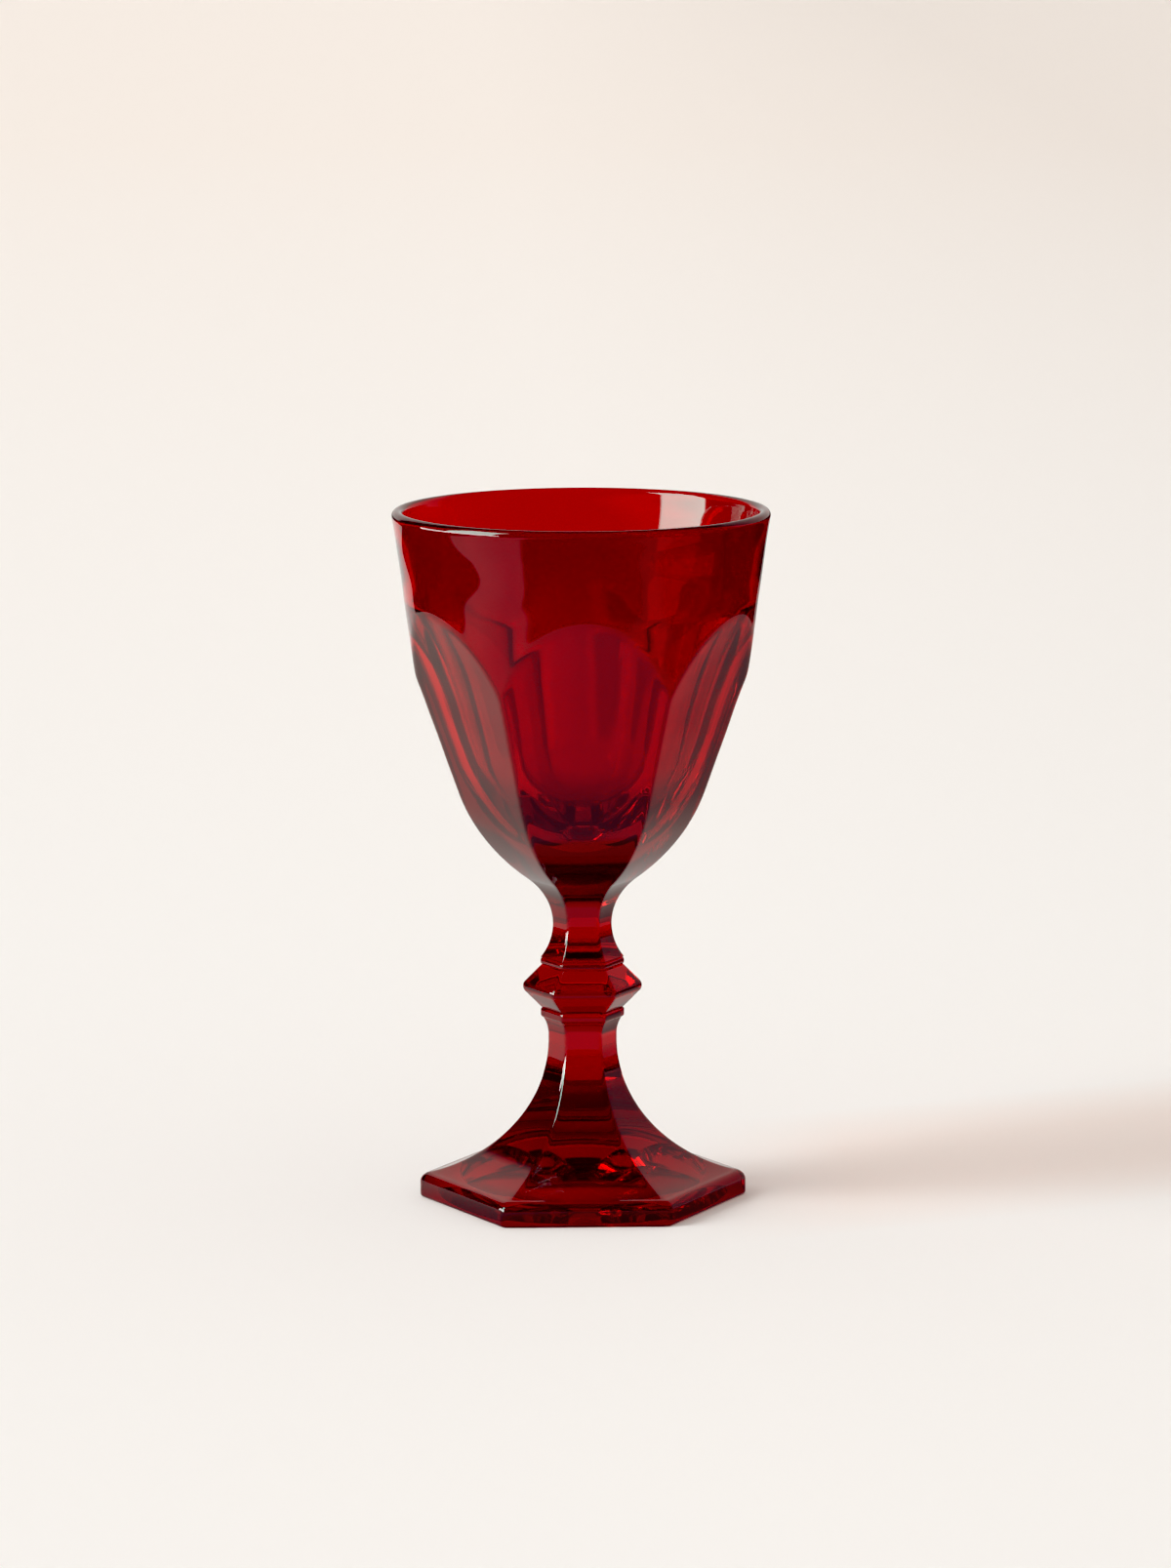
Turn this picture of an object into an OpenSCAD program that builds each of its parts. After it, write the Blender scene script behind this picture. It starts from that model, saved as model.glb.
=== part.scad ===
// Stemmed shot glass in clear ruby glass. A round bowl with a rolled lip carries six round-topped flat panels,
// and stands on a hexagonal stem with a ringed knop and a spread hexagonal foot. Every piece is fused to the
// next one on a flat hexagonal face. Z runs up the axis from the table, and two corners of the hexagon lie on X.

/* [Bowl] */
// Height of the bowl, from its flat base to the top of the lip
bowl_h = 53.5; // [46:0.5:62]
// Outside diameter of the round wall, carried up to the top of the lip
rim_d = 54; // [51:0.5:60]
// Lean of the round wall from upright, in degrees
wall_lean = 7.7; // [5:0.1:9]
// Diameter of the rolled lip
lip_d = 1.8; // [1.7:0.05:2.4]
// Thickness of the wall just under the lip
lip_wall = 1.5; // [1.2:0.05:1.6]
// Size across the flats of the flat base that sits on the neck
base_af = 13.4; // [11:0.1:16]

/* [Panels] */
// Size across the flats where the rounded belly turns into straight panels
belly_af = 30.9; // [27:0.1:34]
// Height of that place above the base of the bowl
belly_h = 12.8; // [10:0.1:16]
// Lean of the straight panels from upright, in degrees
panel_lean = 17; // [14:0.1:20]
// Height above the base of the bowl at which the panels start to curve outwards
scoop_h = 25.4; // [20:0.1:30]
// Radius of that outward curve
scoop_r = 88; // [60:1:140]

/* [Cavity] */
// Lean of the upper cavity wall from upright, in degrees
cavity_lean = 9.5; // [8:0.1:12]
// Thickness of glass at the middle of a panel
panel_wall = 1.85; // [1.5:0.05:2.6]
// Thickness of glass between the base of the bowl and the bottom of the cavity
floor_h = 7.4; // [4:0.1:9]

/* [Neck] */
// Height of the neck
neck_h = 11.3; // [9:0.1:14]
// Size across the flats at the narrowest place
neck_af = 7.5; // [6:0.1:9]
// Height of the narrowest place above the bottom of the neck
neck_waist_h = 4.85; // [3.5:0.05:6]

/* [Collars and knop] */
// Size across the flats of both collars and of the ends of the knop
collar_af = 10.6; // [10:0.1:13]
// Height of the upper collar
upper_collar_h = 1.2; // [0.8:0.1:2.5]
// Height of the lower collar
lower_collar_h = 1.6; // [0.8:0.1:2.5]
// Height of the knop
knop_h = 6.1; // [4:0.1:9]
// Size across the flats at the girdle of the knop
knop_af = 14.9; // [13.5:0.1:18]
// Height of the upright band round the girdle
girdle_h = 1.1; // [0.5:0.1:2]

/* [Lower stem] */
// Height of the lower stem
stem_h = 8.3; // [7:0.1:11]
// Size across the flats at the narrowest place
stem_af = 8.7; // [7.5:0.1:9.5]
// Height of the narrowest place above the bottom of the lower stem
stem_waist_h = 5.2; // [4:0.1:5.5]
// Radius of the fillet that rises to the lower collar
fillet_r = 5.1; // [4:0.1:9]
// Height of that fillet
fillet_h = 2.4; // [1.5:0.1:2.8]

/* [Foot] */
// Height of the foot, from the table to the lower stem
foot_h = 18; // [15:0.5:21]
// Size across the flats of the foot
foot_af = 41; // [36:0.5:46]
// Height at which the spread of the foot would reach its side
foot_edge_h = 3.3; // [2.5:0.1:4.5]
// Width of the bevel on the top edge of the foot, seen from above
shoulder_w = 1.1; // [0.4:0.1:2]
// Depth of that bevel down the side of the foot
shoulder_h = 1; // [0.4:0.1:1.8]
// Size of the small bevel round the bottom edge
sole_bevel = 0.4; // [0.2:0.05:0.6]
// Diameter of the hollow under the foot
recess_d = 33; // [24:0.5:34]
// Depth of that hollow
recess_h = 4.5; // [2:0.1:7]

/* [Hidden] */
$fa = 3;
$fs = 0.4;
ruby = [0.6, 0.02, 0.05];
flats = 6;

// Heights of the joints between the pieces
stem_z = foot_h;
lower_collar_z = stem_z + stem_h;
knop_z = lower_collar_z + lower_collar_h;
upper_collar_z = knop_z + knop_h;
neck_z = upper_collar_z + upper_collar_h;
bowl_z = neck_z + neck_h;
rim_z = bowl_z + bowl_h;

// Length of the bars that are crossed to make a six-sided piece, and how far a cut runs past a face
bar_l = 2 * max(foot_af, rim_d);
past = 1;

// Round wall of the bowl and its lip, whose bead stands half way through the wall
lip_r = lip_d / 2;
lip_z = rim_z - lip_r;
function wall_r(z) = rim_d / 2 - tan(wall_lean) * (rim_z - z);
function cavity_r(z) = rim_d / 2 - lip_wall - tan(cavity_lean) * (rim_z - z);
lip_x = (wall_r(lip_z) + cavity_r(lip_z)) / 2;

// Belly of the bowl, an arc from the edge of the base that runs smoothly into the straight panel
inward = [-cos(panel_lean), sin(panel_lean)];
belly_z = bowl_z + belly_h;
belly = [belly_af / 2, belly_z];
belly_chord = [base_af / 2, bowl_z] - belly;
belly_r = (belly_chord * belly_chord) / (2 * inward * belly_chord);
belly_c = belly + belly_r * inward;

// Outward curve at the top of a panel, whose meeting with the round wall is the arch
scoop_z = bowl_z + scoop_h;
scoop = [belly_af / 2 + tan(panel_lean) * (scoop_z - belly_z), scoop_z];
scoop_c = scoop - scoop_r * inward;

// Cavity, which follows the panels at the thickness of the glass and ends in a round floor
floor_z = bowl_z + floor_h;
cavity_side = belly + panel_wall * inward;
cavity_top = scoop + panel_wall * inward;
floor_r = (cavity_side * [cos(panel_lean), -sin(panel_lean)] + floor_z * sin(panel_lean)) / (1 - sin(panel_lean));
floor_c = [0, floor_z + floor_r];
floor_edge = floor_c - floor_r * inward;

// Hollow side of the neck, an arc that reaches the edge of the base of the bowl
neck_waist_z = neck_z + neck_waist_h;
neck_in = (base_af - neck_af) / 2;
neck_r = (pow(neck_in, 2) + pow(neck_h - neck_waist_h, 2)) / (2 * neck_in);

// Hollow side of the lower stem and the foot, one arc from the narrowest place out to the side of the foot
stem_waist_z = stem_z + stem_waist_h;
flare_in = (foot_af - stem_af) / 2;
flare_r = (pow(flare_in, 2) + pow(stem_waist_z - foot_edge_h, 2)) / (2 * flare_in);
flare_x = stem_af / 2 + flare_r;
function flare_z(x) = stem_waist_z - sqrt(pow(flare_r, 2) - pow(flare_x - x, 2));

// Ball that hollows the underside of the foot
recess_r = (pow(recess_d / 2, 2) + pow(recess_h, 2)) / (2 * recess_h);

// Long bar across one flat, with the side view that is drawn, X out through the flat and Y up
module across_flat(k) {
    rotate([90, 0, (k + 0.5) * 360 / flats])
        linear_extrude(bar_l, center = true)
            children();
}

// Six-sided solid whose flats all have the side view that is drawn
module six_sided() {
    intersection_for (k = [0 : flats / 2 - 1])
        across_flat(k)
            children();
}

// Upright block in a side view, centred on the axis
module block(w, z, h) {
    translate([-w / 2, z])
        square([w, h]);
}

// Pair of circles in a side view, one on each side of the axis
module both_sides(x, z, r) {
    for (side = [-1, 1])
        translate([side * x, z])
            circle(r);
}

// Side view of what one panel takes off the bowl: beside the belly, the straight side and the outward curve
module panel_view() {
    difference() {
        translate([0, bowl_z - past])
            square([rim_d, belly_h + past]);
        translate(belly_c)
            circle(belly_r);
    }
    polygon([belly, [rim_d, belly.y], [rim_d, scoop.y], scoop]);
    intersection() {
        translate([0, scoop_z])
            square([rim_d, rim_z - scoop_z]);
        translate(scoop_c)
            circle(scoop_r);
    }
}

// Half section of the cavity: round floor, straight side, outward curve, upper wall
module cavity_section() {
    intersection() {
        translate(floor_c)
            circle(floor_r);
        translate([0, floor_z - past])
            square([floor_r, floor_edge.y - floor_z + past]);
    }
    polygon([[0, floor_edge.y], floor_edge, cavity_top, [0, cavity_top.y]]);
    difference() {
        polygon([
            [0, cavity_top.y],
            [cavity_r(cavity_top.y), cavity_top.y],
            [cavity_r(rim_z + past), rim_z + past],
            [0, rim_z + past]
        ]);
        translate(scoop_c)
            circle(scoop_r + panel_wall);
    }
}

// Half section of the round bowl: wall, cavity and rolled lip
module bowl_section() {
    difference() {
        polygon([[0, bowl_z], [wall_r(bowl_z), bowl_z], [wall_r(lip_z), lip_z], [0, lip_z]]);
        cavity_section();
    }
    translate([lip_x, lip_z])
        circle(lip_r);
}

// Bowl: the round cup, with the panels cut into it
module bowl() {
    color(ruby)
        difference() {
            rotate_extrude()
                bowl_section();
            for (k = [0 : flats - 1])
                across_flat(k)
                    panel_view();
        }
}

// Neck: the waisted bit of stem under the bowl
module neck() {
    color(ruby)
        six_sided()
            difference() {
                block(neck_af + 2 * neck_r, neck_z, neck_h);
                both_sides(neck_af / 2 + neck_r, neck_waist_z, neck_r);
            }
}

// Upper collar: the thin wafer on top of the knop
module upper_collar() {
    color(ruby)
        six_sided()
            block(collar_af, upper_collar_z, upper_collar_h);
}

// Knop: the swelling of the stem, with an upright band round its girdle
module knop() {
    slope_h = (knop_h - girdle_h) / 2;
    color(ruby)
        six_sided()
            polygon([
                [-collar_af / 2, knop_z],
                [collar_af / 2, knop_z],
                [knop_af / 2, knop_z + slope_h],
                [knop_af / 2, knop_z + slope_h + girdle_h],
                [collar_af / 2, upper_collar_z],
                [-collar_af / 2, upper_collar_z],
                [-knop_af / 2, knop_z + slope_h + girdle_h],
                [-knop_af / 2, knop_z + slope_h]
            ]);
}

// Lower collar: the thin wafer under the knop
module lower_collar() {
    color(ruby)
        six_sided()
            block(collar_af, lower_collar_z, lower_collar_h);
}

// Stem: the lower bit, filleted up to the collar and spreading down to the foot
module stem() {
    color(ruby)
        six_sided()
            difference() {
                block(stem_af + 2 * fillet_r, stem_z, stem_h);
                both_sides(flare_x, stem_waist_z, flare_r);
                both_sides(stem_af / 2 + fillet_r, lower_collar_z - fillet_h, fillet_r);
            }
}

// Foot: the spread slab the glass stands on, bevelled round both edges and hollowed underneath
module foot() {
    edge = foot_af / 2;
    shoulder_z = flare_z(edge) - shoulder_h;
    shoulder_rise = flare_z(edge - shoulder_w) - shoulder_z;
    bevel_x = edge - 2 * shoulder_w;
    bevel_z = shoulder_z + 2 * shoulder_rise;
    color(ruby)
        difference() {
            six_sided()
                polygon([
                    [-edge + sole_bevel, 0],
                    [edge - sole_bevel, 0],
                    [edge, sole_bevel],
                    [edge, shoulder_z],
                    [bevel_x, bevel_z],
                    [bevel_x, foot_h],
                    [-bevel_x, foot_h],
                    [-bevel_x, bevel_z],
                    [-edge, shoulder_z],
                    [-edge, sole_bevel]
                ]);
            for (k = [0 : flats - 1])
                across_flat(k)
                    translate([flare_x, stem_waist_z])
                        circle(flare_r);
            translate([0, 0, recess_h - recess_r])
                sphere(recess_r);
        }
}

foot();
stem();
lower_collar();
knop();
upper_collar();
neck();
bowl();
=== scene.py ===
from math import acos, asin, atan2, cos, degrees, pi, radians, sin, sqrt, tan

import bpy
import numpy as np
from mathutils import Matrix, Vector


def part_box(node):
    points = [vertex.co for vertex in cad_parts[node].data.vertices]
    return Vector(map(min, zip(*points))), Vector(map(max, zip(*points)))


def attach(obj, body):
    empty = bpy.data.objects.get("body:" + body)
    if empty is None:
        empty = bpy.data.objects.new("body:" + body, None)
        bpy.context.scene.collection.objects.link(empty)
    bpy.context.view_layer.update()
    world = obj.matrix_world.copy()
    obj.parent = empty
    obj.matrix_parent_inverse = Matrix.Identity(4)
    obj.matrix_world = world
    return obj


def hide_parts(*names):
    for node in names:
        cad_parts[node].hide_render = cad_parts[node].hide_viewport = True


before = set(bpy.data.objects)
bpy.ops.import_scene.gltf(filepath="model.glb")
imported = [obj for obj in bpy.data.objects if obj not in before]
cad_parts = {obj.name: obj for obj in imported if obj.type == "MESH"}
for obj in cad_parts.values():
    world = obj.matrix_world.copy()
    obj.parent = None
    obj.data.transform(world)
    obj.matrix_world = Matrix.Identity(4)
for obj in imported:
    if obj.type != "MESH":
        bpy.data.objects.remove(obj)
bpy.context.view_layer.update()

# Foot: the spread hexagonal slab that the glass stands on, in clear ruby glass.
# It is pressed in a six-part mould, hollowed underneath by the plunger and fire-polished,
# and the lower stem is fused to its top while both are hot.
MM = 0.001
SPIN_STEPS = 360
FUSED_DISH = 0.02
SWELL = 0.009
SWELL_REACH = 20
SWELL_WAVES = ((5, 0.5, 0), (8, -0.37, 1), (3, 0.83, 2))
CORNER_SHARPNESS = 5.17
foot_low, foot_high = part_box("foot")
foot_top = foot_high[2] / MM
foot_edge = -foot_low[1] / MM
foot_side_top = 3.3
shoulder_round = 1.4
sole_round = 0.45
recess_radius = 16.5
recess_depth = 4.5
recess_round = 0.5
foot_corner = 0.9
flare_waist = 4.35
flare_waist_z = 23.2


def arc(centre, radius, start, end, steps):
    """Points on an arc from one angle to another, in degrees from the outward direction."""
    turns = np.linspace(radians(start), radians(end), steps + 1)
    return [(centre[0] + radius * cos(t), centre[1] + radius * sin(t)) for t in turns]


def rounded(before, corner, after, radius, steps=6):
    """Points of a fillet that replaces a corner of an outline."""
    corner = np.array(corner)
    back = np.array(before) - corner
    on = np.array(after) - corner
    back /= np.hypot(*back)
    on /= np.hypot(*on)
    half = acos(np.clip(back @ on, -1, 1)) / 2
    middle = (back + on) / np.hypot(*(back + on))
    centre = corner + middle * radius / sin(half)
    first = corner + back * radius / tan(half) - centre
    last = corner + on * radius / tan(half) - centre
    start = atan2(first[1], first[0])
    sweep = (atan2(last[1], last[0]) - start + pi) % (2 * pi) - pi
    turns = np.linspace(start, start + sweep, steps + 1)
    return [tuple(centre + radius * np.array([cos(t), sin(t)])) for t in turns]


def turned(name, outline):
    """A round blank: one vertex drawn along the outline and spun about the axis."""
    bpy.ops.object.select_all(action="DESELECT")
    bpy.ops.mesh.primitive_plane_add(size=MM, location=(outline[0][0] * MM, 0, outline[0][1] * MM))
    piece = bpy.context.object
    piece.name = piece.data.name = name
    bpy.ops.object.mode_set(mode="EDIT")
    bpy.ops.mesh.merge(type="CENTER")
    for (x, z), (next_x, next_z) in zip(outline, outline[1:]):
        step = ((next_x - x) * MM, 0, (next_z - z) * MM)
        bpy.ops.mesh.extrude_region_move(TRANSFORM_OT_translate={"value": step})
    bpy.ops.mesh.select_all(action="SELECT")
    bpy.ops.mesh.spin(steps=SPIN_STEPS, angle=2 * pi, center=(0, 0, 0), axis=(0, 0, 1))
    bpy.ops.mesh.select_all(action="SELECT")
    bpy.ops.mesh.remove_doubles(threshold=0.002 * MM)
    bpy.ops.mesh.normals_make_consistent(inside=False)
    bpy.ops.object.mode_set(mode="OBJECT")
    bpy.ops.object.transform_apply(location=True, rotation=True, scale=True)
    bpy.ops.object.shade_smooth_by_angle(angle=radians(40))
    return piece


def places(piece):
    """Angle, radius and height of every vertex, in millimetres."""
    co = np.empty(len(piece.data.vertices) * 3)
    piece.data.vertices.foreach_get("co", co)
    x, y, z = co.reshape(-1, 3).T / MM
    return np.arctan2(y, x), np.hypot(x, y), z


def put(piece, angle, radius, z):
    """Moves every vertex to an angle, radius and height, with the faint swell of hot-worked glass."""
    swell = sum(np.sin(waves * angle + climb * z + start) for waves, climb, start in SWELL_WAVES)
    wavy = radius + SWELL * swell * np.clip(radius / SWELL_REACH, 0, 1)
    co = np.stack([wavy * np.cos(angle), wavy * np.sin(angle), z], 1) * MM
    piece.data.vertices.foreach_set("co", co.ravel())
    piece.data.update()


def six_sided(angle, apothem, corner):
    """Radius of a hexagon with rounded corners, two of them on X, at an angle."""
    sharp = CORNER_SHARPNESS * np.maximum(apothem, corner) / corner
    reach = sum(np.maximum(np.cos(angle - radians(60 * k + 30)), 0) ** sharp for k in range(6))
    return apothem / reach ** (1 / sharp)


def pressed(piece, corner, keep_round=None):
    """Presses a round blank six-sided, apart from what stays round."""
    angle, radius, z = places(piece)
    flat = six_sided(angle, radius, corner)
    if keep_round is not None:
        flat = np.where(keep_round(radius, z), radius, flat)
    put(piece, angle, flat, z)


def fused(piece, *heights):
    """Marks the faces at which a piece runs into its neighbours."""
    piece.data.attributes.new("fused", "FLOAT", "FACE")
    mark = piece.data.attributes["fused"].data
    for face in piece.data.polygons:
        level = face.center.z / MM
        flat = abs(face.normal.z) > 0.99
        mark[face.index].value = float(flat and any(abs(level - h) < 2 * FUSED_DISH for h in heights))


def ruby_glass():
    """Clear ruby glass: a surface tint set for each height, a weak one in depth, and faint streaks."""
    material = bpy.data.materials.new("ruby_glass")
    material.use_nodes = True
    nodes = material.node_tree.nodes
    links = material.node_tree.links
    shader = nodes["Principled BSDF"]
    shader.inputs["Roughness"].default_value = 0.0
    shader.inputs["IOR"].default_value = 1.55
    shader.inputs["Transmission Weight"].default_value = 1.0
    place = nodes.new("ShaderNodeTexCoord")
    streaks = nodes.new("ShaderNodeTexNoise")
    streaks.inputs["Scale"].default_value = 45.0
    streaks.inputs["Detail"].default_value = 2.0
    parts = nodes.new("ShaderNodeSeparateXYZ")
    level = nodes.new("ShaderNodeMapRange")
    level.inputs["From Max"].default_value = 0.1
    depth_of_tint = nodes.new("ShaderNodeValToRGB")
    stops = depth_of_tint.color_ramp.elements
    stops[0].position = 0.022
    stops[0].color = (0.3, 0.0004, 0.001, 1)
    stops[1].position = 0.9
    stops[1].color = (0.42, 0.0005, 0.0014, 1)
    # Painted shade and light: the same glass is tinted darker through the stem, knop and neck than in the
    # foot and bowl, to give each part its darkness.
    tint_by_height = (
        (0.034, 0.5), (0.12, 0.5), (0.18, 0.42), (0.26, 0.42), (0.3, 0.385),
        (0.435, 0.385), (0.45, 0.25), (0.475, 0.25), (0.49, 0.3), (0.54, 0.3), (0.6, 0.51), (0.82, 0.51),
    )
    for position, red in tint_by_height:
        stops.new(position).color = (red, 0.0006, 0.0016, 1)
    tint = nodes.new("ShaderNodeMix")
    tint.data_type = "RGBA"
    tint.blend_type = "MULTIPLY"
    tint.inputs["B"].default_value = (0.9, 0.9, 0.9, 1)
    links.new(place.outputs["Object"], streaks.inputs["Vector"])
    links.new(place.outputs["Object"], parts.inputs["Vector"])
    links.new(parts.outputs["Z"], level.inputs["Value"])
    links.new(level.outputs["Result"], depth_of_tint.inputs["Fac"])
    links.new(streaks.outputs["Fac"], tint.inputs["Factor"])
    links.new(depth_of_tint.outputs["Color"], tint.inputs["A"])
    links.new(tint.outputs["Result"], shader.inputs["Base Color"])
    joint = nodes.new("ShaderNodeAttribute")
    joint.attribute_name = "fused"
    open_joint = nodes.new("ShaderNodeMath")
    open_joint.operation = "SUBTRACT"
    open_joint.inputs[0].default_value = 1.0
    links.new(joint.outputs["Fac"], open_joint.inputs[1])
    links.new(open_joint.outputs["Value"], shader.inputs["Alpha"])
    depth = nodes.new("ShaderNodeVolumeAbsorption")
    depth.inputs["Color"].default_value = (0.92, 0.0, 0.02, 1)
    depth.inputs["Density"].default_value = 430.0
    links.new(depth.outputs["Volume"], nodes["Material Output"].inputs["Volume"])
    return material


def dressed(piece, node):
    """Gives a finished piece its glass and puts it in place of its CAD node."""
    piece.data.materials.append(glass)
    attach(piece, "root")
    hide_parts(node)


glass = ruby_glass()
flare_in = foot_edge - flare_waist
flare_radius = (flare_in ** 2 + (flare_waist_z - foot_side_top) ** 2) / (2 * flare_in)
flare_centre = (flare_waist + flare_radius, flare_waist_z)


def flare_z(x):
    """Height of the hollow side of the stem and foot at a distance from the axis."""
    return flare_waist_z - np.sqrt(np.maximum(flare_radius ** 2 - (flare_centre[0] - x) ** 2, 0))


def flare_arc(low, high, steps):
    """Hollow side of the stem and foot, from one height up to another."""
    turn = [180 + degrees(asin((flare_waist_z - z) / flare_radius)) for z in (low, high)]
    return arc(flare_centre, flare_radius, turn[0], turn[1], steps)


recess_ball = (recess_radius ** 2 + recess_depth ** 2) / (2 * recess_depth)
recess_turn = degrees(asin((recess_ball - recess_depth) / recess_ball))
dome = arc((0, recess_depth - recess_ball), recess_ball, 90, recess_turn, 40)
sole = (foot_edge, 0)
shoulder = (foot_edge, foot_side_top)
shoulder_in = (foot_edge - 3, flare_z(foot_edge - 3))
flare_low = flare_z(foot_edge - shoulder_round)
foot_outline = (
    dome[:-3]
    + rounded(dome[-3], (recess_radius, 0), sole, recess_round, 4)
    + rounded((0, 0), sole, shoulder, sole_round)
    + rounded(sole, shoulder, shoulder_in, shoulder_round, 10)
    + flare_arc(flare_low, foot_top, 70)
    + [(0, foot_top - FUSED_DISH)]
)
foot = turned("glass_foot", foot_outline)


def in_recess(radius, z):
    """True for the part of the foot that the plunger made, which stays round."""
    return (radius < recess_radius + 1) & (z < flare_z(radius) - 1)


pressed(foot, foot_corner, in_recess)
fused(foot, foot_top)
dressed(foot, "foot")

# Stem: the short hexagonal bit between the foot and the lower collar, in the same ruby glass.
# Its hollow side carries on the sweep of the foot and turns out to the collar in a small fillet.
stem_corner = 0.7
stem_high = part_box("stem")[1][2] / MM
fillet_radius = 5.1
fillet_z = 23.9
fillet_turn = 180 - degrees(asin((stem_high - fillet_z) / fillet_radius))
stem_outline = (
    [(0, foot_top + FUSED_DISH)]
    + flare_arc(foot_top, flare_waist_z, 24)
    + arc((flare_waist + fillet_radius, fillet_z), fillet_radius, 180, fillet_turn, 12)
    + [(0, stem_high - FUSED_DISH)]
)
stem = turned("glass_stem", stem_outline)
pressed(stem, stem_corner)
fused(stem, foot_top, stem_high)
dressed(stem, "stem")

# Lower collar: the thin hexagonal wafer of ruby glass under the knop.
# It is a bit of hot glass laid between stem and knop, with edges softened by the fire.
collar_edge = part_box("lower_collar")[1][1] / MM
collar_corner = 0.7
collar_round = 0.5


def collar(name, node):
    """A wafer with softened edges, between the heights of its CAD node."""
    low, high = (c[2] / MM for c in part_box(node))
    outline = (
        [(0, low + FUSED_DISH), (collar_edge - collar_round, low)]
        + rounded((0, low), (collar_edge, low), (collar_edge, high), collar_round)
        + rounded((collar_edge, low), (collar_edge, high), (0, high), collar_round)
        + [(0, high - FUSED_DISH)]
    )
    piece = turned(name, outline)
    pressed(piece, collar_corner)
    fused(piece, low, high)
    dressed(piece, node)


collar("glass_lower_collar", "lower_collar")

# Knop: the six-sided swelling of the stem, in the same ruby glass.
# It is pressed between two halves of the mould, and its girdle is softened by the fire.
knop_low, knop_high = (c[2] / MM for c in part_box("knop"))
knop_edge = 7.95
knop_round = 1.2
knop_corner = 1.1
knop_middle = (knop_low + knop_high) / 2
knop_foot = (collar_edge, knop_low)
knop_head = (collar_edge, knop_high)
knop_outline = (
    [(0, knop_low + FUSED_DISH), knop_foot]
    + rounded(knop_foot, (knop_edge, knop_middle), knop_head, knop_round, 12)
    + [knop_head, (0, knop_high - FUSED_DISH)]
)
knop = turned("glass_knop", knop_outline)
pressed(knop, knop_corner)
fused(knop, knop_low, knop_high)
dressed(knop, "knop")

# Upper collar: the thinner wafer on top of the knop, made like the lower one.
# It carries the neck.
collar("glass_upper_collar", "upper_collar")

# Neck: the waisted hexagonal bit of stem that carries the bowl, in the same ruby glass.
# It is drawn in at the waist while hot and opens out to the base of the bowl.
neck_low, neck_high = (c[2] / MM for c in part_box("neck"))
neck_corner = 0.7
neck_waist = 3.75
neck_waist_z = neck_low + 4.85
bowl_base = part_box("neck")[1][1] / MM
neck_in = bowl_base - neck_waist
neck_radius = (neck_in ** 2 + (neck_high - neck_waist_z) ** 2) / (2 * neck_in)
neck_turn = [180 - degrees(asin((z - neck_waist_z) / neck_radius)) for z in (neck_low, neck_high)]
neck_outline = (
    [(0, neck_low + FUSED_DISH)]
    + arc((neck_waist + neck_radius, neck_waist_z), neck_radius, neck_turn[0], neck_turn[1], 44)
    + [(0, neck_high - FUSED_DISH)]
)
neck = turned("glass_neck", neck_outline)
pressed(neck, neck_corner)
fused(neck, neck_low, neck_high)
dressed(neck, "neck")

# Bowl: the round cup with a rolled lip, in the same ruby glass, fused to the neck by its base.
# It is pressed with six round-topped panels outside and a smooth, softly six-sided plunger inside,
# and the lip is rolled round in the fire.
rim_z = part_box("bowl")[1][2] / MM
rim_radius = 27.0
wall_lean = tan(radians(7.7))
lip_wall = 1.5
lip_bead = 0.1
lip_bead_height = 4.0
cavity_lean = tan(radians(9.5))
panel_lean = radians(17)
panel_wall = 1.85
panel_corner = 0.8
panel_edge = 0.3
cavity_flat = 0.4
cavity_corner = 0.6
belly = np.array([15.45, neck_high + 12.8])
scoop_start = neck_high + 25.4
scoop_radius = 88.0
floor_z = neck_high + 7.4
flat_top = scoop_start + 18
flat_top_fade = 12
flat_bottom = floor_z + 6
flat_bottom_fade = 8
lip_clear = 1
inward = np.array([-cos(panel_lean), sin(panel_lean)])
to_base = np.array([bowl_base, neck_high]) - belly
belly_radius = (to_base @ to_base) / (2 * inward @ to_base)
belly_centre = belly + belly_radius * inward
scoop = np.array([belly[0] + tan(panel_lean) * (scoop_start - belly[1]), scoop_start])
scoop_centre = scoop - scoop_radius * inward


def wall_radius(z):
    """Outside of the round wall at a height."""
    return rim_radius - wall_lean * (rim_z - z)


def panel_apothem(z):
    """Distance of a panel from the axis at a height: belly, straight side, outward curve."""
    low = belly_centre[0] + np.sqrt(np.maximum(belly_radius ** 2 - (z - belly_centre[1]) ** 2, 0))
    side = belly[0] + tan(panel_lean) * (z - belly[1])
    high = scoop_centre[0] - np.sqrt(np.maximum(scoop_radius ** 2 - (z - scoop_centre[1]) ** 2, 0))
    return np.where(z < belly[1], low, np.where(z < scoop_start, side, high))


cavity_top = rim_radius - lip_wall
lip_round = lip_wall / 2 + lip_bead
lip_z = rim_z - lip_round


def bead(z):
    """Swelling of the wall on each side, just under the lip."""
    rise = np.clip((z - lip_z) / lip_bead_height + 1, 0, 1)
    return lip_bead * rise ** 2


cavity_side = belly + panel_wall * inward
floor_radius = (floor_z * sin(panel_lean) - cavity_side @ inward) / (1 - sin(panel_lean))


def cavity_radius(z):
    """Inside of the bowl at a height: straight side, outward curve, upper wall."""
    side = cavity_side[0] + tan(panel_lean) * (z - cavity_side[1])
    reach = scoop_radius + panel_wall
    curve = scoop_centre[0] - sqrt(reach ** 2 - (z - scoop_centre[1]) ** 2)
    wall = cavity_top - cavity_lean * (rim_z - z) - bead(z)
    if z < scoop_start + panel_wall * sin(panel_lean):
        return side
    return min(curve, wall)


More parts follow.
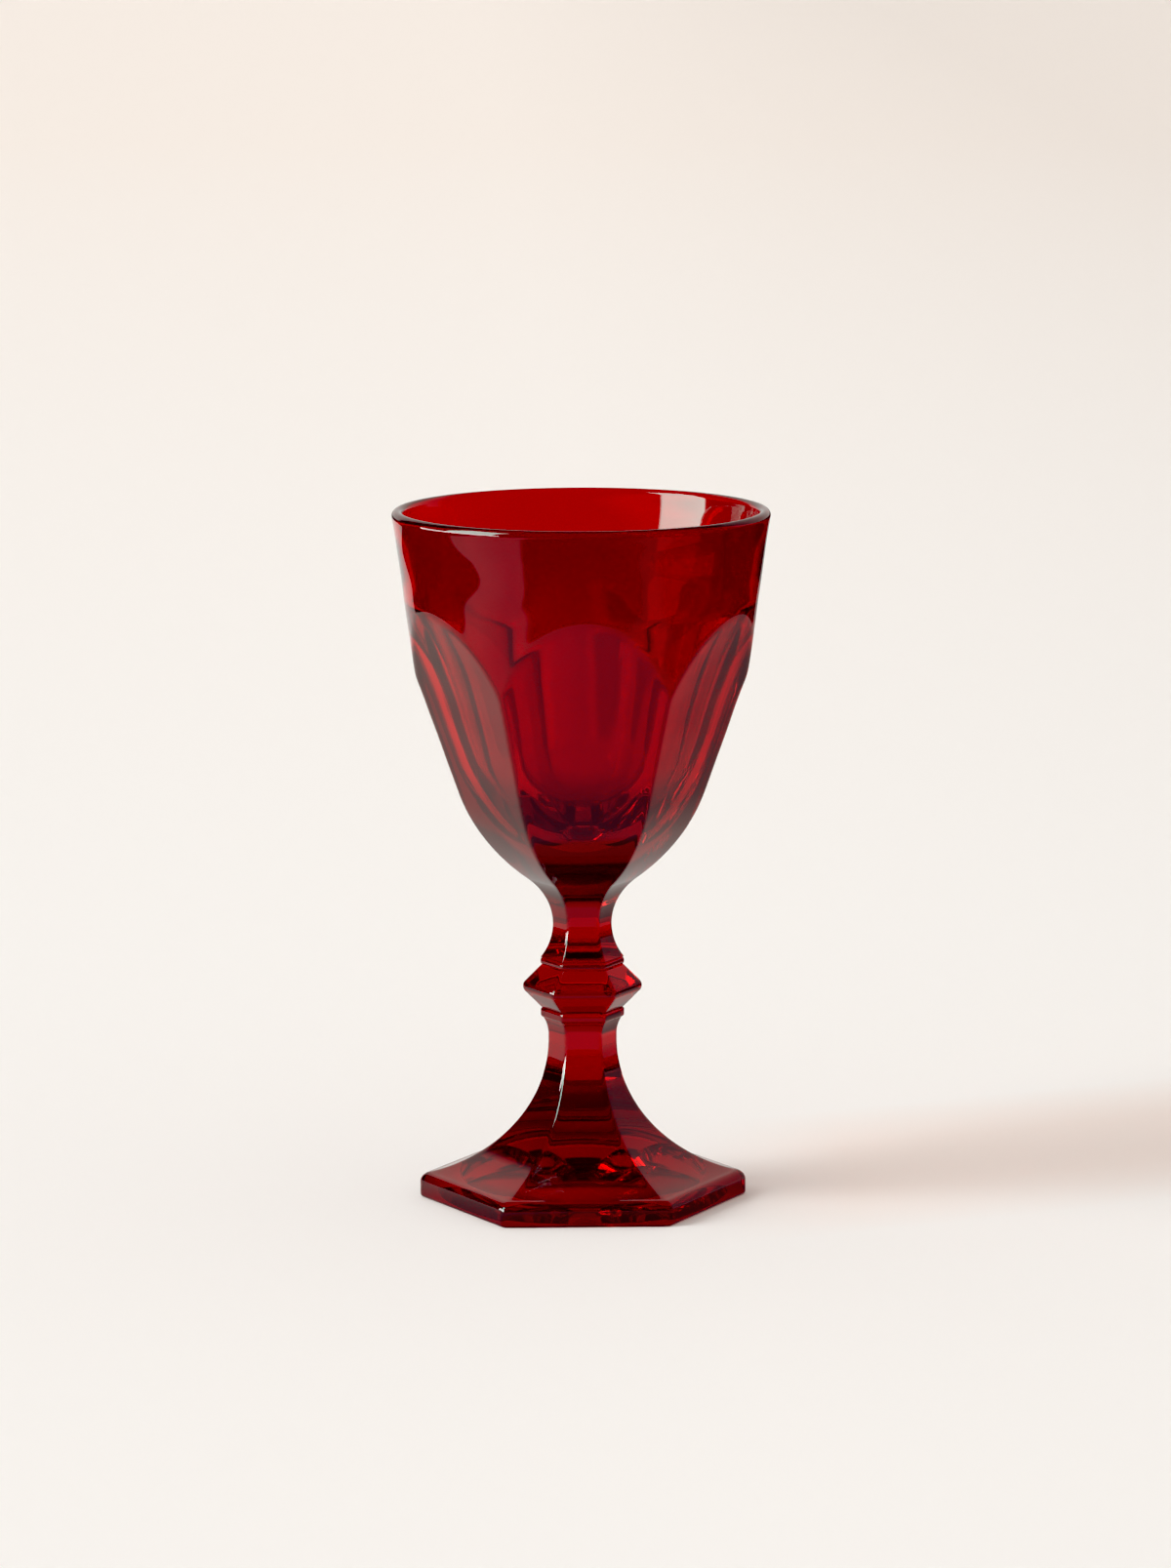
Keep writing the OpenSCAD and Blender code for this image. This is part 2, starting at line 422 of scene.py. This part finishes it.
lip_x = (wall_radius(lip_z) + cavity_radius(lip_z) + lip_bead) / 2
wall_levels = np.linspace(neck_high, lip_z - 0.15, 168)
floor_edge_z = floor_z + floor_radius * (1 - sin(panel_lean))
cavity_levels = np.linspace(lip_z - 0.15, floor_edge_z, 50)
bowl_outline = (
    [(0, neck_high + FUSED_DISH)]
    + [(wall_radius(z) + bead(z), z) for z in wall_levels]
    + arc((lip_x, lip_z), lip_round, 0, 180, 20)
    + [(cavity_radius(z), z) for z in cavity_levels]
    + arc((0, floor_z + floor_radius), floor_radius, -degrees(panel_lean), -90, 24)[1:]
)
bowl = turned("glass_bowl", bowl_outline)
angle, radius, z = places(bowl)
outside = (radius > wall_radius(z) - 0.01) & (z < lip_z)
panel = six_sided(angle, panel_apothem(z), panel_corner)
apart = np.maximum(panel_edge - np.abs(panel - radius), 0)
shaped = np.minimum(panel, radius) - apart ** 2 / (4 * panel_edge)
upper_fade = np.clip((flat_top - z) / flat_top_fade, 0, 1)
lower_fade = np.clip((z - flat_bottom) / flat_bottom_fade, 0, 1)
flattened = six_sided(angle, radius, cavity_corner * np.maximum(radius, 1e-6))
hollow = radius + cavity_flat * upper_fade * lower_fade * (flattened - radius)
inner = np.where(z < lip_z - lip_clear, hollow, radius)
put(bowl, angle, np.where(outside, shaped, inner), z)
fused(bowl, neck_high)
dressed(bowl, "bowl")

# Studio: pale paper under soft light from all round, with a window low on the left and a pale wall behind.
# Two glowing sheets that only the glass shows stand in for the sunlit paper: one is mirrored in the glass,
# and one is seen through it. The paper glows faintly under the foot, and in a band along the glass's
# shadow it is painted redder, for red light that comes through the glass.
pale = (1.0, 0.965, 0.92)
warm = (1.9, 0.95, 0.95)
paper_reach = 12
paper_gap = 0.3 * MM


def value_of(tree, operation, first, second):
    """A math node of a node tree, on two values or sockets."""
    node = tree.nodes.new("ShaderNodeMath")
    node.operation = operation
    for socket, value in zip(node.inputs, (first, second)):
        if isinstance(value, (int, float)):
            socket.default_value = value
        else:
            tree.links.new(value, socket)
    return node.outputs["Value"]


def product(tree, *values):
    """The product of some values or sockets."""
    result = values[0]
    for value in values[1:]:
        result = value_of(tree, "MULTIPLY", result, value)
    return result


def ramp(tree, value, start, end, first=0.0, last=1.0):
    """A value that goes from one level to another between two limits."""
    node = tree.nodes.new("ShaderNodeMapRange")
    node.inputs["From Min"].default_value = start
    node.inputs["From Max"].default_value = end
    node.inputs["To Min"].default_value = first
    node.inputs["To Max"].default_value = last
    tree.links.new(value, node.inputs["Value"])
    return node.outputs["Result"]


def between(tree, value, low, high, soft):
    """1 where a value lies between two limits, with soft ends."""
    rise = ramp(tree, value, low - soft, low + soft)
    fall = ramp(tree, value, high + soft, high - soft)
    return product(tree, rise, fall)


def blend(tree, factor, first, second):
    """A colour between two colours or sockets."""
    node = tree.nodes.new("ShaderNodeMix")
    node.data_type = "RGBA"
    tree.links.new(factor, node.inputs["Factor"])
    for socket, value in ((node.inputs["A"], first), (node.inputs["B"], second)):
        if isinstance(value, tuple):
            socket.default_value = (*value, 1)
        else:
            tree.links.new(value, socket)
    return node.outputs["Result"]


def across_and_along(tree):
    """Place on a sheet or the floor, across the picture and away from the camera, in metres."""
    place = tree.nodes.new("ShaderNodeTexCoord")
    axes = tree.nodes.new("ShaderNodeSeparateXYZ")
    tree.links.new(place.outputs["Object"], axes.inputs["Vector"])
    return axes.outputs["X"], axes.outputs["Y"]


def squared_distance(tree, across, along, middle=0.0):
    """Square of the distance from a place on the line across the picture through the glass."""
    aside = value_of(tree, "SUBTRACT", across, middle)
    return value_of(tree, "ADD", product(tree, aside, aside), product(tree, along, along))


def sheet(name, first_y, height):
    """A sheet along the floor that only the glass shows, from a place on it to the far end."""
    bpy.ops.object.select_all(action="DESELECT")
    bpy.ops.mesh.primitive_plane_add(size=1)
    card = bpy.context.object
    card.name = name
    card.scale = (2 * paper_reach, paper_reach - first_y, 1)
    card.location = (0, (paper_reach + first_y) / 2, height)
    bpy.ops.object.transform_apply(location=True, rotation=True, scale=True)
    card.visible_camera = False
    card.visible_diffuse = False
    card.visible_volume_scatter = False
    card.visible_shadow = False
    material = bpy.data.materials.new(name)
    material.use_nodes = True
    card.data.materials.append(material)
    return card, material.node_tree


def glow(tree, strength, warmth=None):
    """Makes a sheet glow like pale paper at a strength, and redder where it is warm."""
    lamp = tree.nodes.new("ShaderNodeEmission")
    lamp.inputs["Color"].default_value = (*pale, 1)
    if warmth is not None:
        tree.links.new(blend(tree, warmth, pale, warm), lamp.inputs["Color"])
    tree.links.new(strength, lamp.inputs["Strength"])
    tree.links.new(lamp.outputs["Emission"], tree.nodes["Material Output"].inputs["Surface"])


bpy.ops.object.select_all(action="DESELECT")
bpy.ops.mesh.primitive_plane_add(size=2 * paper_reach)
floor = bpy.context.object
floor.name = "floor"
black = (0.0, 0.0, 0.0)
paper_near = (0.925, 0.915, 0.9)
paper_far = (0.93, 0.87, 0.82)
paper_in_red_light = (0.925, 0.842, 0.797)
shadow_slope = 0.4
paper = bpy.data.materials.new("pale_paper")
paper.use_nodes = True
tree = paper.node_tree
across, along = across_and_along(tree)
# Painted shade: the paper is darker towards the right and warmer far off, for how the light falls on it.
far = ramp(tree, along, 0.2, 2.5)
under_foot = ramp(tree, squared_distance(tree, across, along), 0.012 ** 2, 0.018 ** 2, 1.0, 0.0)
shade = ramp(tree, across, 0.02, 0.35, 1.0, 0.9)
# Painted red light: in a band along the glass's shadow the paper is tinted redder, for light through the
# ruby glass.
off_shadow = value_of(tree, "SUBTRACT", along, product(tree, across, shadow_slope))
in_shadow = ramp(tree, product(tree, off_shadow, off_shadow), 0.014 ** 2, 0.04 ** 2, 1.0, 0.0)
red_light_in_shadow = product(tree, in_shadow, ramp(tree, across, 0.015, 0.04))
near_paper = blend(tree, red_light_in_shadow, paper_near, paper_in_red_light)
near_tint = blend(tree, shade, black, near_paper)
far_tint = blend(tree, shade, black, paper_far)
surface = tree.nodes["Principled BSDF"]
tree.links.new(blend(tree, far, near_tint, far_tint), surface.inputs["Base Color"])
toward_camera = ramp(tree, along, 0.005, -0.002)
gathered = product(tree, under_foot, toward_camera, ramp(tree, across, -0.015, 0.015, 0.6, 0.25))
surface.inputs["Emission Color"].default_value = (1.0, 0.9, 0.85, 1)
tree.links.new(gathered, surface.inputs["Emission Strength"])
surface.inputs["Roughness"].default_value = 0.9
surface.inputs["Specular IOR Level"].default_value = 0.1
floor.data.materials.append(paper)
floor.visible_glossy = False

mirrored, tree = sheet("mirrored_paper", -paper_reach, -paper_gap)
mirrored.visible_transmission = False
across, along = across_and_along(tree)
ragged = tree.nodes.new("ShaderNodeTexNoise")
ragged.inputs["Scale"].default_value = 60.0
wander = product(tree, ragged.outputs["Fac"], 0.03)
left_edge = ramp(tree, value_of(tree, "ADD", across, wander), -0.252, -0.246)
right_edge = ramp(tree, across, 0.205, 0.185)
# Painted light and shade on the mirrored sheet: it is brighter on the left towards the window and
# brightest next to it, redder near the front on the left, dimmer on the right, and darker round the glass
# for its contact shadow.
left_lift = ramp(tree, across, -0.12, 0.05, 0.95, 0.7)
shaded_right = ramp(tree, across, 0.07, 0.14, 1.0, 0.57)
contact_shadow = ramp(tree, squared_distance(tree, across, along, 0.008), 0.022 ** 2, 0.04 ** 2, 0.3, 1.0)
near_side = ramp(tree, along, 0.0, -0.08)
near_window = product(tree, ramp(tree, across, -0.19, -0.24), near_side, 0.15)
warmth = product(tree, ramp(tree, across, -0.1, -0.16), near_side)
before_camera = product(tree, between(tree, across, -0.15, 0.15, 0.004), ramp(tree, along, -0.185, -0.195))
open_front = value_of(tree, "SUBTRACT", 1.0, before_camera)
lift = value_of(tree, "ADD", 1.0, near_window)
glow(tree, product(tree, left_edge, right_edge, left_lift, shaded_right, contact_shadow, open_front, lift), warmth)

seen_through, tree = sheet("seen_through_paper", 0.06, paper_gap)
seen_through.visible_glossy = False
across, along = across_and_along(tree)
window_side = ramp(tree, across, -0.19, 0.0, 1.6, 1.08)
paper_edge = value_of(tree, "ADD", product(tree, along, 0.37), 0.1)
aside = value_of(tree, "DIVIDE", value_of(tree, "ABSOLUTE", across, 0.0), paper_edge)
bright_band = ramp(tree, across, 0.03, 0.045, 1.0, 1.18)
dim_right = ramp(tree, across, 0.057, 0.08, 1.0, 0.62)
band = value_of(tree, "SUBTRACT", product(tree, bright_band, dim_right), 1.0)
far_band = value_of(tree, "ADD", product(tree, band, ramp(tree, along, 0.3, 0.36)), 1.0)
beside = ramp(tree, aside, 0.96, 1.04, 1.0, 0.3)
glow(tree, product(tree, window_side, beside, far_band))

scene = bpy.context.scene
window_sides = radians(56), radians(91)
window_heights = sin(radians(-5)), sin(radians(48))
window_light = (5.7, 9.8, 8.9)
window_on_paper = (7.2, 7.2, 7.2)
room_on_paper = (0.68, 0.645, 0.61)
room_in_glass = (0.03, 0.03, 0.03)
backdrop_top = sin(radians(29))
wall_top = sin(radians(42))
world = bpy.data.worlds.new("surround")
scene.world = world
world.use_nodes = True
tree = world.node_tree
direction = tree.nodes.new("ShaderNodeTexCoord")
axes = tree.nodes.new("ShaderNodeSeparateXYZ")
tree.links.new(direction.outputs["Generated"], axes.inputs["Vector"])
left = product(tree, axes.outputs["X"], -1.0)
front = product(tree, axes.outputs["Y"], -1.0)
from_front = value_of(tree, "ARCTAN2", left, front)
window = product(
    tree,
    between(tree, from_front, *window_sides, radians(1)),
    between(tree, axes.outputs["Z"], *window_heights, 0.02),
)
from_back = value_of(tree, "ARCTAN2", axes.outputs["X"], axes.outputs["Y"])
backdrop = product(
    tree,
    between(tree, from_back, radians(-46), radians(60), radians(4)),
    between(tree, axes.outputs["Z"], -2.0, backdrop_top, 0.04),
    ramp(tree, from_back, radians(-40), radians(40), 1.3, 0.7),
    ramp(tree, axes.outputs["Z"], 0.0, backdrop_top, 0.7, 0.35),
)
wall = product(
    tree,
    between(tree, from_back, radians(-34), radians(75), radians(3)),
    between(tree, axes.outputs["Z"], -2.0, wall_top, 0.03),
    ramp(tree, from_back, radians(-30), radians(60), 0.85, 0.45),
)
path = tree.nodes.new("ShaderNodeLightPath")
behind = tree.nodes.new("ShaderNodeMix")
tree.links.new(path.outputs["Is Glossy Ray"], behind.inputs["Factor"])
tree.links.new(backdrop, behind.inputs["A"])
tree.links.new(wall, behind.inputs["B"])
surround = blend(tree, behind.outputs["Result"], room_in_glass, pale)
in_glass = blend(tree, window, surround, window_light)
on_paper = blend(tree, window, room_on_paper, window_on_paper)
in_view = value_of(tree, "MAXIMUM", path.outputs["Is Camera Ray"], path.outputs["Is Glossy Ray"])
in_view = value_of(tree, "MAXIMUM", in_view, path.outputs["Is Transmission Ray"])
off_paper = value_of(tree, "SUBTRACT", in_view, path.outputs["Diffuse Depth"])
light = blend(tree, off_paper, on_paper, in_glass)
tree.links.new(light, tree.nodes["Background"].inputs["Color"])

sill_distance = 0.45
sill_turn = radians(82)
sill_width = 0.55
sill_height = 0.12
sill_glow = 9.0
sill_light = bpy.data.lights.new("sill", "AREA")
sill_light.shape = "RECTANGLE"
sill_light.size = sill_width
sill_light.size_y = sill_height
sill_light.energy = sill_glow * pi * sill_width * sill_height
sill_light.color = (1.0, 0.98, 0.95)
sill = bpy.data.objects.new("sill", sill_light)
scene.collection.objects.link(sill)
sill.location = (-sill_distance * sin(sill_turn), -sill_distance * cos(sill_turn), sill_height / 2)
sill.rotation_euler = (radians(90), 0, -sill_turn)
sill.visible_camera = False
sill.visible_diffuse = False

# Camera: a long lens at the photograph's height and distance, looking slightly down on the glass.
# Its response takes the last trace of green and blue out of the deep red, as the photograph's does.
image_height = 1607
focal_pixels = 6363.2
camera_turn = radians(1.43)
camera_distance = 877.7
camera_height = 205.6
camera_pitch = 0.16403
camera_yaw = 0.0006
camera_roll = 0.00284
camera_data = bpy.data.cameras.new("camera")
camera_data.sensor_fit = "VERTICAL"
camera_data.sensor_height = 36
camera_data.lens = focal_pixels * 36 / image_height
camera = bpy.data.objects.new("camera", camera_data)
scene.collection.objects.link(camera)
camera.location = (
    -camera_distance * sin(camera_turn) * MM,
    -camera_distance * cos(camera_turn) * MM,
    camera_height * MM,
)
camera.rotation_mode = "QUATERNION"
camera.rotation_quaternion = (
    Matrix.Rotation(-camera_turn - camera_yaw, 3, "Z")
    @ Matrix.Rotation(pi / 2 - camera_pitch, 3, "X")
    @ Matrix.Rotation(-camera_roll, 3, "Z")
).to_quaternion()
scene.camera = camera

scene.view_settings.view_transform = "Standard"
scene.view_settings.use_curve_mapping = True
response = scene.view_settings.curve_mapping
for channel, toe in ((1, 0.037), (2, 0.027)):
    points = response.curves[channel].points
    for place in ((toe, 0.0015), (0.12, 0.075), (0.35, 0.335)):
        points.new(*place)
    for point in points:
        point.handle_type = "VECTOR"
response.update()
scene.cycles.max_bounces = 40
scene.cycles.transmission_bounces = 40
scene.cycles.glossy_bounces = 16
scene.cycles.transparent_max_bounces = 40
